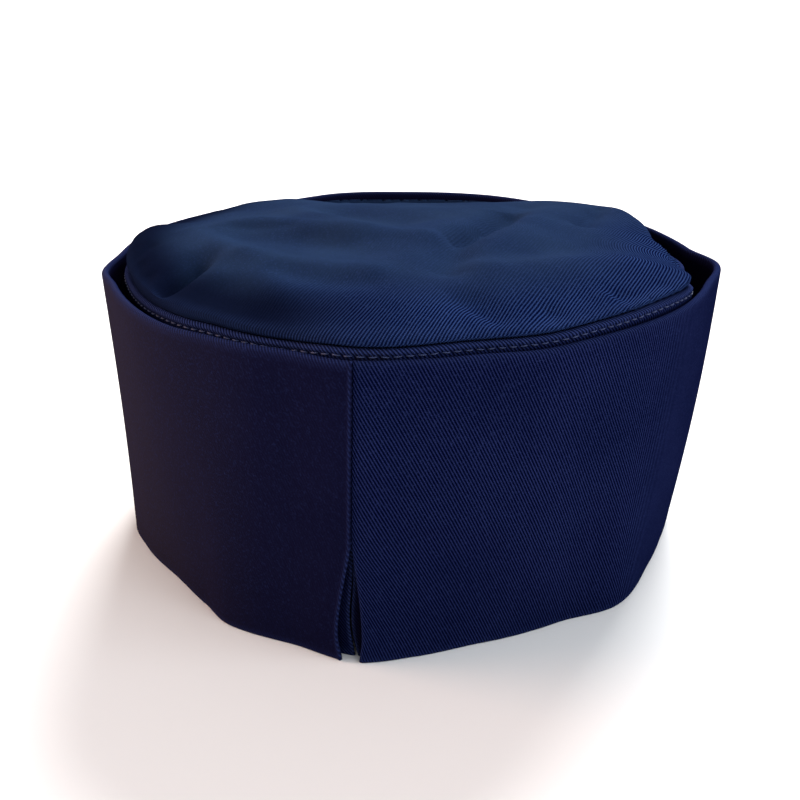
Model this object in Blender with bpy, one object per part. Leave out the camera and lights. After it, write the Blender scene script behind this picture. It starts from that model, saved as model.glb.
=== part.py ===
"""A chef's cap of twill: a soft round crown, the side band that it is sewn to, and a deep
turned-up cuff that stands round the side band and opens in a vent at the hem.

Metres, +Z up. The cap rests on its hem at z = 0, with the vent on the -Y side.
"""

from collections import namedtuple

import bmesh
import bpy
import numpy as np

# Driving sizes
HEAD_GIRTH = 0.565        # round the inside of the side band, at the hem
CUFF_HEIGHT = 0.0952      # hem to the fold along the cuff's top
CUFF_FLARE = 0.0052       # how much wider the cuff's radius is at its top than at the hem
CUFF_BELLY = 0.0008       # how far the cuff bows out half way up, at most
CUFF_STANDOFF = 0.0078    # widest gap between cuff and side band, at the top
SEAM_RISE = 0.0032        # the crown seam above the cuff's top, at the front

# Cloth, each wall as thick as its plies together
CUFF_CLOTH = 0.0024       # two plies and an interlining
SIDE_CLOTH = 0.0016       # one ply and a tape
CROWN_CLOTH = 0.0012      # one ply
CLEARANCE = 0.0003        # between pieces that touch

# Crown
CROWN_RISE = 0.0084       # the crown above the cuff's top, just inside its roll
CROWN_DOME = 0.0046       # how much more it stands in its middle
CROWN_LEAN = 0.8          # share of that dome moved from its back to its front
CROWN_FULLNESS = 3.0      # how square its rim is: 2 is a round dome
CROWN_ROLL = 0.0034       # height of the roll where it turns in over the seam
CROWN_BULGE = 0.0006      # how far the roll stands out past the side band
CROWN_TURN = 0.0070       # its sewn edge, turned down inside the side band
FOLD_DEPTH = 0.0030       # a full fold of the crown's cloth

# Seam ledge: the side band's top, plumped above its line of stitches
LEDGE_HEIGHT = 0.0040
LEDGE_PLUMP = 0.0003      # extra thickness on each face

# Vent: the slit where the cuff's ends part, below their seam
VENT_HEIGHT = 0.039
VENT_LEFT = 0.0034        # how far the cuff's left end draws back at the hem
VENT_RIGHT = 0.0022       # and its right end
VENT_SPRING = 0.0014      # how far both ends spring outward at the hem
VENT_EASE = 0.014         # distance over which the drawn cloth settles
SIDE_VENT_SHARE = 0.18    # the side band's left end draws back less, so its edge shows
SIDE_SPRING_SHARE = 0.5   # and its ends spring out less
VENT_CURVE = 0.60         # how round the slit is at its top
SEAM_ANGLE_HEM = -99.5    # degrees round from +X
SEAM_ANGLE_TOP = -97.8

# Fineness
SECTIONS_ROUND = 64
FACES_ABOVE_VENT = 4
FACES_ALONG_VENT = 4
FOLD_STEPS = 4            # faces over the rounded top of a wall

SIDE_RADIUS = HEAD_GIRTH / (2 * np.pi) + SIDE_CLOTH     # side band's outside, at the hem
HEM_RADIUS = SIDE_RADIUS + CLEARANCE + CUFF_CLOTH       # cuff's outside, at the hem
RIM_RADIUS = HEM_RADIUS + CUFF_FLARE                    # cuff's outside, at its top
CROWN_RADIUS = RIM_RADIUS - CUFF_CLOTH - SIDE_CLOTH - CLEARANCE

# The cap was stored flat, so its outline has soft corners. Each row is one direction round
# it: hem and rim are shares of HEM_RADIUS and RIM_RADIUS, belly is a share of CUFF_BELLY,
# stand is a share of CUFF_STANDOFF, seam is a share of SEAM_RISE, crown is a share of
# CROWN_RISE and roll is a share of CROWN_ROLL.
Section = namedtuple("Section", "angle hem rim belly stand seam crown roll")
SECTIONS = (
    Section(-170, 1.034, 1.011, -1.0, 0.66, 0.00, 1.10, 1.1),
    Section(-160, 1.004, 0.989, -0.6, 0.40, 0.00, 1.05, 1.0),
    Section(-144, 0.966, 0.996, -0.3, 0.34, 0.05, 1.00, 0.9),
    Section(-133, 0.984, 0.997, 0.0, 0.25, 0.25, 1.00, 0.8),
    Section(-124, 1.020, 0.984, 0.0, 0.16, 0.35, 1.00, 0.7),
    Section(-111, 1.011, 0.986, 0.3, 0.12, 0.35, 1.00, 0.5),
    Section(-98, 1.044, 1.029, 0.2, 0.15, 0.85, 1.00, 0.4),
    Section(-88, 1.011, 1.008, 0.4, 0.12, 1.00, 1.00, 0.4),
    Section(-75, 0.970, 0.992, 0.6, 0.28, 0.85, 1.00, 0.4),
    Section(-59, 0.963, 0.986, 0.8, 0.11, 0.85, 1.00, 0.4),
    Section(-45, 1.012, 0.994, 0.5, 0.11, 0.80, 1.00, 0.5),
    Section(-27, 0.978, 1.009, 1.2, 0.09, 0.45, 1.00, 0.8),
    Section(-18, 0.981, 1.015, 1.5, 0.68, 0.00, 1.00, 1.0),
    Section(-5, 1.010, 1.052, 1.5, 1.00, -0.30, 1.00, 1.0),
    Section(6, 1.033, 0.997, 0.9, 0.52, -0.40, 1.00, 1.0),
    Section(20, 0.999, 0.993, 0.8, 0.54, -0.60, 1.05, 1.2),
    Section(40, 0.983, 0.991, 0.7, 0.60, -1.00, 0.95, 1.2),
    Section(56, 0.978, 0.977, 0.6, 0.55, -1.20, 0.55, 1.0),
    Section(72, 0.999, 1.005, 0.5, 0.65, -1.30, 0.05, 1.0),
    Section(90, 1.010, 0.999, 0.4, 0.66, -1.40, -0.28, 1.0),
    Section(106, 0.999, 1.018, 0.4, 0.68, -1.30, -0.15, 1.0),
    Section(120, 0.978, 0.977, 0.3, 0.55, -1.00, 0.32, 1.0),
    Section(140, 0.983, 0.992, 0.2, 0.50, -0.70, 0.52, 1.0),
    Section(158, 1.004, 1.002, -0.2, 0.52, -0.40, 0.70, 1.0),
    Section(178, 1.031, 0.990, -0.5, 0.36, -0.10, 1.20, 1.4),
)

# Folds of the crown, each along a line from one point to another: places and widths are
# shares of CROWN_RADIUS, and rise is a share of FOLD_DEPTH, below zero for a valley.
Fold = namedtuple("Fold", "from_x from_y to_x to_y rise width")
FOLDS = (
    Fold(-0.77, -0.62, -0.69, -0.34, -1.10, 0.045),
    Fold(-0.91, -0.20, -0.61, -0.37, 0.45, 0.100),
    Fold(-0.61, -0.37, -0.40, -0.66, 0.35, 0.100),
    Fold(-0.67, 0.08, -0.48, 0.13, -0.40, 0.055),
    Fold(-0.48, 0.13, -0.12, -0.06, -0.45, 0.055),
    Fold(-0.50, -0.34, -0.19, -0.50, -0.30, 0.060),
    Fold(-0.19, -0.50, 0.15, -0.39, -0.30, 0.060),
    Fold(0.47, 0.50, 0.36, 0.27, -0.80, 0.080),
    Fold(0.36, 0.27, 0.22, 0.00, -0.55, 0.075),
    Fold(0.22, 0.00, 0.17, -0.45, -0.30, 0.080),
    Fold(0.17, -0.45, 0.22, -0.78, -0.40, 0.070),
    Fold(0.30, -0.12, 0.57, 0.12, 0.35, 0.090),
    Fold(-0.04, 0.52, 0.22, 0.50, -0.60, 0.140),
    Fold(0.28, 0.50, 0.32, 0.80, -0.60, 0.080),
    Fold(-0.45, 0.60, -0.22, 0.17, -0.45, 0.055),
    Fold(-0.62, -0.68, -0.45, -0.83, -0.40, 0.090),
    Fold(0.46, -0.80, 0.68, -0.62, -0.50, 0.100),
    Fold(0.26, -0.82, 0.24, -1.00, -0.80, 0.040),
    Fold(0.66, -0.68, 0.79, -0.54, -0.60, 0.055),
    Fold(0.64, 0.20, 0.74, 0.31, -0.40, 0.040),
    Fold(0.50, 0.66, 0.60, 0.60, 0.20, 0.090),
    Fold(0.72, 0.48, 0.76, 0.42, 0.45, 0.090),
    Fold(0.88, 0.38, 0.90, 0.28, 0.85, 0.100),
    Fold(-0.94, 0.06, -0.94, -0.10, 0.70, 0.070),
    Fold(-0.58, 0.64, -0.50, 0.66, 0.80, 0.110),
)


def column(rows, name):
    return np.array([getattr(row, name) for row in rows])


def outline(name, angle):
    """A column of SECTIONS at any angle: the smooth closed curve through its rows, which
    stays between each row and the next."""
    knots = column(SECTIONS, "angle").astype(float)
    values = column(SECTIONS, name)
    knots = np.concatenate([knots[-2:] - 360, knots, knots[:2] + 360])
    values = np.concatenate([values[-2:], values, values[:2]])
    rise = np.diff(values) / np.diff(knots)
    before, after = rise[:-1], rise[1:]
    same_way = before * after > 0
    total = np.where(same_way, before + after, 1.0)
    slopes = np.where(same_way, 2 * before * after / total, 0.0)
    slopes = np.concatenate([[0.0], slopes, [0.0]])
    first = knots[2]
    angle = (np.asarray(angle) - first) % 360 + first
    i = np.searchsorted(knots, angle, side="right") - 1
    span = knots[i + 1] - knots[i]
    t = (angle - knots[i]) / span
    start = values[i] * (1 + 2 * t) * (1 - t) ** 2 + slopes[i] * span * t * (1 - t) ** 2
    end = values[i + 1] * t**2 * (3 - 2 * t) + slopes[i + 1] * span * t**2 * (t - 1)
    return start + end


def at(angle, radius, height):
    """Points at these angles in degrees, radii and heights."""
    angle = np.radians(angle)
    points = np.broadcast_arrays(radius * np.cos(angle), radius * np.sin(angle), height)
    return np.stack(points, axis=-1)


def seam_angle(height):
    share = height / CUFF_HEIGHT
    return SEAM_ANGLE_HEM + (SEAM_ANGLE_TOP - SEAM_ANGLE_HEM) * share


def cuff_outside(angle, height):
    """Radius of the cuff's outer face."""
    share = height / CUFF_HEIGHT
    hem = HEM_RADIUS * outline("hem", angle)
    rim = RIM_RADIUS * outline("rim", angle)
    bow = np.sin(np.pi * np.clip(share, 0, 1))
    belly = CUFF_BELLY * outline("belly", angle) * bow
    return hem + (rim - hem) * share + belly


def side_outside(angle, height):
    """Radius of the side band's outer face: inside the cuff, and further in at the top."""
    share = height / CUFF_HEIGHT
    stand = CUFF_STANDOFF * outline("stand", angle) * share**1.5
    return cuff_outside(angle, height) - CUFF_CLOTH - CLEARANCE - stand


def seam_height(angle):
    return CUFF_HEIGHT + SEAM_RISE * outline("seam", angle)


def wall_levels(top):
    """Heights of a wall's faces from the hem to top, with one at the vent's apex."""
    below = np.linspace(0, VENT_HEIGHT, FACES_ALONG_VENT + 1)
    above = np.linspace(VENT_HEIGHT, 1, FACES_ABOVE_VENT + 1)[1:]
    above = VENT_HEIGHT + (top - VENT_HEIGHT) * (above - VENT_HEIGHT) / (1 - VENT_HEIGHT)
    return np.concatenate([below, above])


def vent_pull(share, height):
    """How strongly the vent's left and right ends, each 1 at its hem corner, act on cloth
    at this share of the way round."""
    depth = np.clip(1 - height / VENT_HEIGHT, 0, 1) ** VENT_CURVE
    run = 2 * np.pi * HEM_RADIUS
    return [depth * np.exp(-far * run / VENT_EASE) for far in (1 - share, share)]


def wall_section(share, radius_of, cloth, top_of, vent, plump=0.0, plump_height=0.0):
    """One cross-section of a wall: up its outer face, over its rounded top, down its
    inner face. plump thickens the top plump_height of both faces."""
    left, right, spring = vent
    middle = seam_angle(CUFF_HEIGHT) + 360 * share
    half = cloth / 2 + plump
    top = top_of(middle) - half
    levels = wall_levels(top - plump_height) if plump_height else wall_levels(top)
    if plump_height:
        levels = np.append(levels, [top - plump_height * 0.75, top])
    swell = np.where(levels > top - plump_height * 0.9, plump, 0.0) if plump else 0.0
    from_left, from_right = vent_pull(share, levels)
    turn = np.degrees((right * from_right - left * from_left) / HEM_RADIUS)
    angle = seam_angle(levels) + 360 * share + turn
    outside = radius_of(angle, levels) + spring * (from_left + from_right)
    outer = at(angle, outside + swell, levels)
    inner = at(angle, outside - cloth - swell, levels)[::-1]
    bend = np.linspace(0, np.pi, FOLD_STEPS + 1)[1:-1]
    crest = at(
        angle[-1],
        outside[-1] - cloth / 2 + half * np.cos(bend),
        top + half * np.sin(bend),
    )
    return np.concatenate([outer, crest, inner]), len(levels)


def vented_ring(name, section_of):
    """A closed wall of SECTIONS_ROUND sections whose two ends are one above the vent."""
    shares = np.linspace(0, 1, SECTIONS_ROUND + 1)
    rows = [section_of(share) for share in shares]
    levels = rows[0][1]
    loop = len(rows[0][0])
    points = np.concatenate([points for points, _ in rows])
    index = np.arange(len(points)).reshape(-1, loop)
    open_levels = FACES_ALONG_VENT
    joined = np.arange(open_levels, loop - open_levels)
    index[-1, joined] = index[0, joined]
    a, b = index[:-1], index[1:]
    after = np.roll(np.arange(loop), -1)
    walls = np.stack([a, b, b[:, after], a[:, after]], axis=-1).reshape(-1, 4)
    faces = walls.tolist()
    for end in (index[0], index[-1]):
        outer, inner = end[:levels], end[::-1][:levels]
        for k in range(open_levels):
            faces.append([outer[k], outer[k + 1], inner[k + 1], inner[k]])
    return solid(name, points, faces)


def crown_relief(x, y):
    """Height of the crown's folds: each a soft ridge or valley along its line."""
    x, y = x / CROWN_RADIUS, y / CROWN_RADIUS
    relief = np.zeros_like(x)
    for fold in FOLDS:
        along_x, along_y = fold.to_x - fold.from_x, fold.to_y - fold.from_y
        length = np.hypot(along_x, along_y)
        run = ((x - fold.from_x) * along_x + (y - fold.from_y) * along_y) / length
        past = run - np.clip(run, 0, length)
        aside = ((x - fold.from_x) * along_y - (y - fold.from_y) * along_x) / length
        distance = np.hypot(aside, past)
        relief += fold.rise * np.exp(-((distance / fold.width) ** 2) / 2)
    return FOLD_DEPTH * relief


def crown_surface(shares, angle):
    """The crown's outer face: a puffed disc, the roll round it, and its edge turned down
    inside the side band."""
    seam = seam_height(angle)
    wall = side_outside(angle, seam)
    turn = wall - SIDE_CLOTH - LEDGE_PLUMP - CLEARANCE
    roll = wall + CROWN_BULGE
    shoulder = seam + CROWN_ROLL * outline("roll", angle)
    share = shares[:, None]
    x = share * roll * np.cos(np.radians(angle))
    y = share * roll * np.sin(np.radians(angle))
    rise = CROWN_RISE * (1 + (outline("crown", angle) - 1) * share**2)
    lean = 1 - CROWN_LEAN * share * np.sin(np.radians(angle))
    level = CUFF_HEIGHT + rise + CROWN_DOME * lean * (1 - share**2)
    height = shoulder + (level - shoulder) * np.sqrt(1 - share**CROWN_FULLNESS)
    height = height + crown_relief(x, y) * (1 - share**24)
    disc = np.stack([x, y, height], axis=-1)
    under_roll = at(angle, wall + 0.3 * CROWN_BULGE, seam + 0.45 * (shoulder - seam))
    half = SIDE_CLOTH / 2 + LEDGE_PLUMP
    over = half + CLEARANCE
    bends = [
        at(angle, wall - SIDE_CLOTH / 2 + over * np.cos(bend), seam - half + over * np.sin(bend))
        for bend in np.radians([75, 110, 145, 180])
    ]
    turned_end = at(angle, turn, seam - CROWN_TURN)
    return np.concatenate([disc, [under_roll, *bends, turned_end]])


def inward(surface, cloth):
    """The surface moved in by the cloth's thickness, square to itself."""
    down = np.gradient(surface, axis=0)
    round_ = np.roll(surface, -1, axis=1) - np.roll(surface, 1, axis=1)
    normal = np.cross(down, round_)
    normal[0] = (0, 0, 1)
    normal /= np.linalg.norm(normal, axis=-1, keepdims=True)
    normal[-1, :, 2] = 0
    moved = surface - cloth * normal
    moved[-1, :, 2] = surface[-1, :, 2]
    return moved


def make_crown():
    shares = np.array([0.0, 0.12, 0.25, 0.38, 0.5, 0.61, 0.71, 0.8, 0.88, 0.94, 0.98, 1.0])
    angle = SEAM_ANGLE_TOP + 360 * np.arange(SECTIONS_ROUND) / SECTIONS_ROUND
    outer = crown_surface(shares, angle)
    inner = inward(outer, CROWN_CLOTH)
    grid = np.concatenate([outer[1:], inner[:0:-1]])
    points = np.concatenate([grid.reshape(-1, 3), outer[:1, 0], inner[:1, 0]])
    index = np.arange(grid.shape[0] * SECTIONS_ROUND).reshape(grid.shape[0], -1)
    top, under = len(points) - 2, len(points) - 1
    a, b = index[:-1], index[1:]
    turn = np.roll(np.arange(SECTIONS_ROUND), -1)
    faces = np.stack([a, b, b[:, turn], a[:, turn]], axis=-1).reshape(-1, 4).tolist()
    faces += [[top, i, j] for i, j in zip(index[0], index[0][turn])]
    faces += [[under, j, i] for i, j in zip(index[-1], index[-1][turn])]
    return solid("crown", points, faces)


def make_side_band():
    vent = (VENT_LEFT * SIDE_VENT_SHARE, VENT_RIGHT, VENT_SPRING * SIDE_SPRING_SHARE)
    return vented_ring(
        "side_band",
        lambda share: wall_section(
            share, side_outside, SIDE_CLOTH, seam_height, vent, LEDGE_PLUMP, LEDGE_HEIGHT
        ),
    )


def make_cuff():
    return vented_ring(
        "cuff",
        lambda share: wall_section(
            share,
            cuff_outside,
            CUFF_CLOTH,
            lambda angle: CUFF_HEIGHT,
            (VENT_LEFT, VENT_RIGHT, VENT_SPRING),
        ),
    )


def solid(name, points, faces):
    """An object from points and faces, with its faces pointing out."""
    mesh = bpy.data.meshes.new(name)
    mesh.from_pydata(points.tolist(), [], [list(map(int, face)) for face in faces])
    work = bmesh.new()
    work.from_mesh(mesh)
    loose = [vertex for vertex in work.verts if not vertex.link_faces]
    bmesh.ops.delete(work, geom=loose, context="VERTS")
    bmesh.ops.recalc_face_normals(work, faces=work.faces)
    work.to_mesh(mesh)
    work.free()
    mesh.shade_smooth()
    made = bpy.data.objects.new(name, mesh)
    bpy.context.scene.collection.objects.link(made)
    return made


def twill(name, colour):
    """Matt cotton twill."""
    material = bpy.data.materials.new(name)
    material.use_nodes = True
    shader = material.node_tree.nodes["Principled BSDF"]
    shader.inputs["Base Color"].default_value = (*colour, 1)
    shader.inputs["Roughness"].default_value = 0.85
    shader.inputs["Metallic"].default_value = 0.0
    return material


def centre_on_origin(pieces):
    """Moves the pieces together so that the box round them stands centred on the origin."""
    corners = np.concatenate(
        [[vertex.co for vertex in piece.data.vertices] for piece in pieces]
    )
    middle = (corners.min(axis=0) + corners.max(axis=0)) / 2
    for piece in pieces:
        piece.location = (-middle[0], -middle[1], 0)


def main():
    for old in list(bpy.data.objects):
        bpy.data.objects.remove(old)
    pieces = [make_crown(), make_side_band(), make_cuff()]
    crown, side_band, cuff = pieces
    crown.data.materials.append(twill("crown_twill", (0.018, 0.032, 0.085)))
    side_band.data.materials.append(twill("side_band_twill", (0.008, 0.014, 0.042)))
    cuff.data.materials.append(twill("cuff_twill", (0.008, 0.013, 0.042)))
    centre_on_origin(pieces)


main()
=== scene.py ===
"""A chef's cap of navy twill on a pale floor: the crown, the side band that it is sewn to, the
turned-up cuff with its seam and vent, and the stitches round the top of the side band.

The forms are worked out in the cap's own frame, whose axis is the middle of its head hollow,
and then moved with the CAD. Angles are in degrees round the cap from +X, lengths in metres.
"""

import math
from collections import namedtuple

import bpy
import numpy as np
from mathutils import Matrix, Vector


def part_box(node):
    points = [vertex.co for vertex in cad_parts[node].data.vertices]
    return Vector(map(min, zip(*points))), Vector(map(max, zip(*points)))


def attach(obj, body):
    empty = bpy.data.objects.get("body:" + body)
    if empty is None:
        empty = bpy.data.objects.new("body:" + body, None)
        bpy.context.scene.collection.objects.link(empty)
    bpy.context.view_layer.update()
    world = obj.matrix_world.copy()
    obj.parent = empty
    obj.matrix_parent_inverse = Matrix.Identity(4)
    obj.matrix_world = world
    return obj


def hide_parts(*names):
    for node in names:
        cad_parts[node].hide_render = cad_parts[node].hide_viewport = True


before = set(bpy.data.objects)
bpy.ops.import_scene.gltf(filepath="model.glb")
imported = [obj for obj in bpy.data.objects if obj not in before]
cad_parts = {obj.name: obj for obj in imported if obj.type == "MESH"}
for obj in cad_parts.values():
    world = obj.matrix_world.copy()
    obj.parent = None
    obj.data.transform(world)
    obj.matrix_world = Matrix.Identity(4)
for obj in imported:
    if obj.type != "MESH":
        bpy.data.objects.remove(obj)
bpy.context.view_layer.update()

# ---- Sizes, as in the CAD ----
HEAD_GIRTH = 0.565
CUFF_HEIGHT = 0.0952
CUFF_FLARE = 0.0052
CUFF_BELLY = 0.0008
CUFF_STANDOFF = 0.0078
SEAM_RISE = 0.0032
CUFF_CLOTH = 0.0024
SIDE_CLOTH = 0.0016
CROWN_CLOTH = 0.0012
CLEARANCE = 0.0003
CROWN_RISE = 0.0084
CROWN_DOME = 0.0046
CROWN_LEAN = 0.8
CROWN_FULLNESS = 3.0
CROWN_ROLL = 0.0034
CROWN_BULGE = 0.0006
CROWN_TURN = 0.0070
FOLD_DEPTH = 0.0030
LEDGE_HEIGHT = 0.0040
VENT_HEIGHT = 0.039
VENT_SPRING = 0.0014
VENT_EASE = 0.014
SIDE_SPRING_SHARE = 0.5
SEAM_ANGLE_HEM = -99.5
SEAM_ANGLE_TOP = -97.8

SIDE_RADIUS = HEAD_GIRTH / (2 * np.pi) + SIDE_CLOTH
HEM_RADIUS = SIDE_RADIUS + CLEARANCE + CUFF_CLOTH
RIM_RADIUS = HEM_RADIUS + CUFF_FLARE
CROWN_RADIUS = RIM_RADIUS - CUFF_CLOTH - SIDE_CLOTH - CLEARANCE
ROUND = 2 * np.pi * HEM_RADIUS     # the way round the cap

# ---- Finer sizes, seen only in the cloth ----
HEM_TURN = 0.0008          # rounding of the hem's folded edge
SIDE_TURN_SHARE = 0.7      # the side band's hem is rounded less
END_TURN = 0.0011          # rounding of the vent's folded ends
END_THIN = 0.16            # what is left of the wall's thickness at the very end
SEAM_GROOVE = 0.0008       # depth of the crease along the cuff's seam
SEAM_GROOVE_WIDTH = 0.00020
SEAM_RIDGE = 0.00042       # the lapped edge on the seam's left
SEAM_RIDGE_WIDTH = 0.00055
SEAM_DIP = 0.00055         # how far the right panel sinks under that edge
SEAM_DIP_WIDTH = 0.0012
LEDGE_BULGE = 0.00065      # the seam allowance that plumps the side band's top
STITCH_DROP = 0.0020       # stitches below the crown seam
STITCH_PITCH = 0.0031
STITCH_LENGTH = 0.0023
THREAD_RADIUS = 0.00021
PLY_LENGTH = 0.0005        # of a turn of the thread's plies
STITCH_SINK = 0.00035      # how far the stitches pull the cloth in
PUCKER_DEPTH = 0.00010     # of the side band between its stitches
LEDGE_LEAN = 0.0003        # how far the ledge's inner face stands in
DRAPE_DEPTH = 0.00026      # of the cuff's waviness
SIDE_DRAPE = 0.5           # the side band's waviness, as a share of the cuff's
VENT_FADE = 0.006          # height over which the seam opens into the vent's folded ends
FOLD_STRESS = 0.25         # how much deeper the folds are in the crown's middle
GATHER_DEPTH = 0.00016     # of the puckers where the crown is eased into its seam
ROLL_UNDER = 0.0012        # how far the crown's roll turns in past the side band's face
CROWN_COLUMNS = 460
DISC_ROWS = 104            # rows of the crown's middle
EDGE_ROWS = 26             # rows of its rounded edge
EDGE_SHARE = 0.14          # share of the way out that the edge takes up
RIBBED_SIDE = (0.64, -0.77)    # where the crown's ribs and their painted shade and highlights are crisp
SHADED_SIDE = (-0.80, -0.60)     # and where its rim is painted with shade

STITCHES = int(ROUND / STITCH_PITCH)

# Waves round the cap: each row's share of the whole, its number of waves, where they
# start, and how far they move on from hem to rim.
Wave = namedtuple("Wave", "share count start lean")
DRAPE_WAVES = (Wave(0.50, 7, 1.1, 1.6), Wave(0.35, 13, 4.0, -2.2), Wave(0.22, 23, 0.4, 3.0))
SEAM_WAVES = (Wave(0.00005, 9, 2.6, 0), Wave(0.00005, 17, 0.7, 0))
RIM_WAVES = (Wave(0.000075, 5, 0.6, 0), Wave(0.000045, 11, 2.0, 0), Wave(0.00003, 19, 0.0, 0))

# Waves of the crown's soft unevenness, across it in one direction each: degrees, length as
# a share of CROWN_RADIUS, start and height.
Ripple = namedtuple("Ripple", "angle length start height")
RIPPLES = (
    Ripple(17, 0.31, 0.3, 0.00014),
    Ripple(64, 0.23, 1.9, 0.00010),
    Ripple(103, 0.27, 4.1, 0.00009),
    Ripple(141, 0.17, 2.7, 0.00003),
    Ripple(172, 0.13, 5.2, 0.00002),
    Ripple(38, 0.11, 0.9, 0.000012),
    Ripple(85, 0.09, 3.4, 0.000010),
)

# Marks of the finish, from the seam round to the right: share of the way round, and value.
# The crisp marks set how sharp the ribs and their painted shade and highlights are, the
# shade marks paint shade where the cloth faces away from the light, and the warm mark
# paints the warm light from the left onto the cuff.
# Where the ribs and their painted shade and highlights are sharp: the cuff's right, raked by the
# light.
CUFF_CRISP_AND_LIT = ((0, 1), (0.16, 1), (0.24, 0.5), (0.5, 0.6), (0.7, 0.6), (0.86, 0.3), (1, 0.25))
# Painted shade on the cuff's left panel, which faces away from the light.
CUFF_SHADE = ((0, 0), (0.70, 0), (0.84, 0.165), (0.90, 0.27), (1, 0.3))
# Painted warm light from the left, pale and brownish on the cuff's left panel.
CUFF_WARM_LIT = ((0, 0), (0.55, 0), (0.80, 1), (0.86, 0.85), (0.925, 0.42), (0.955, 0.16), (1, 0.1))
SIDE_CRISP_AND_LIT = ((0, 1), (0.5, 0.8), (0.8, 0.8), (1, 0.9))
# Painted shade on the side band's end behind the vent, and on its left.
SIDE_SHADE = ((0, 1), (0.012, 1), (0.02, 0), (0.7, 0), (0.85, 0.8), (1, 0.45))

# The outline, as in the CAD. Each row is one direction round the cap: hem and rim are shares
# of HEM_RADIUS and RIM_RADIUS, belly of CUFF_BELLY, stand of CUFF_STANDOFF, seam of
# SEAM_RISE, crown of CROWN_RISE and roll of CROWN_ROLL.
Section = namedtuple("Section", "angle hem rim belly stand seam crown roll")
SECTIONS = (
    Section(-170, 1.034, 1.011, -1.0, 0.66, 0.00, 1.10, 1.1),
    Section(-160, 1.004, 0.989, -0.6, 0.40, 0.00, 1.05, 1.0),
    Section(-144, 0.966, 0.996, -0.3, 0.34, 0.05, 1.00, 0.9),
    Section(-133, 0.984, 0.997, 0.0, 0.25, 0.25, 1.00, 0.8),
    Section(-124, 1.020, 0.984, 0.0, 0.16, 0.35, 1.00, 0.7),
    Section(-111, 1.011, 0.986, 0.3, 0.12, 0.35, 1.00, 0.5),
    Section(-98, 1.044, 1.029, 0.2, 0.15, 0.85, 1.00, 0.4),
    Section(-88, 1.011, 1.008, 0.4, 0.12, 1.00, 1.00, 0.4),
    Section(-75, 0.970, 0.992, 0.6, 0.28, 0.85, 1.00, 0.4),
    Section(-59, 0.963, 0.986, 0.8, 0.11, 0.85, 1.00, 0.4),
    Section(-45, 1.012, 0.994, 0.5, 0.11, 0.80, 1.00, 0.5),
    Section(-27, 0.978, 1.009, 1.2, 0.09, 0.45, 1.00, 0.8),
    Section(-18, 0.981, 1.015, 1.5, 0.68, 0.00, 1.00, 1.0),
    Section(-5, 1.010, 1.052, 1.5, 1.00, -0.30, 1.00, 1.0),
    Section(6, 1.033, 0.997, 0.9, 0.52, -0.40, 1.00, 1.0),
    Section(20, 0.999, 0.993, 0.8, 0.54, -0.60, 1.05, 1.2),
    Section(40, 0.983, 0.991, 0.7, 0.60, -1.00, 0.95, 1.2),
    Section(56, 0.978, 0.977, 0.6, 0.55, -1.20, 0.55, 1.0),
    Section(72, 0.999, 1.005, 0.5, 0.65, -1.30, 0.05, 1.0),
    Section(90, 1.010, 0.999, 0.4, 0.66, -1.40, -0.28, 1.0),
    Section(106, 0.999, 1.018, 0.4, 0.68, -1.30, -0.15, 1.0),
    Section(120, 0.978, 0.977, 0.3, 0.55, -1.00, 0.32, 1.0),
    Section(140, 0.983, 0.992, 0.2, 0.50, -0.70, 0.52, 1.0),
    Section(158, 1.004, 1.002, -0.2, 0.52, -0.40, 0.70, 1.0),
    Section(178, 1.031, 0.990, -0.5, 0.36, -0.10, 1.20, 1.4),
)

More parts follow.
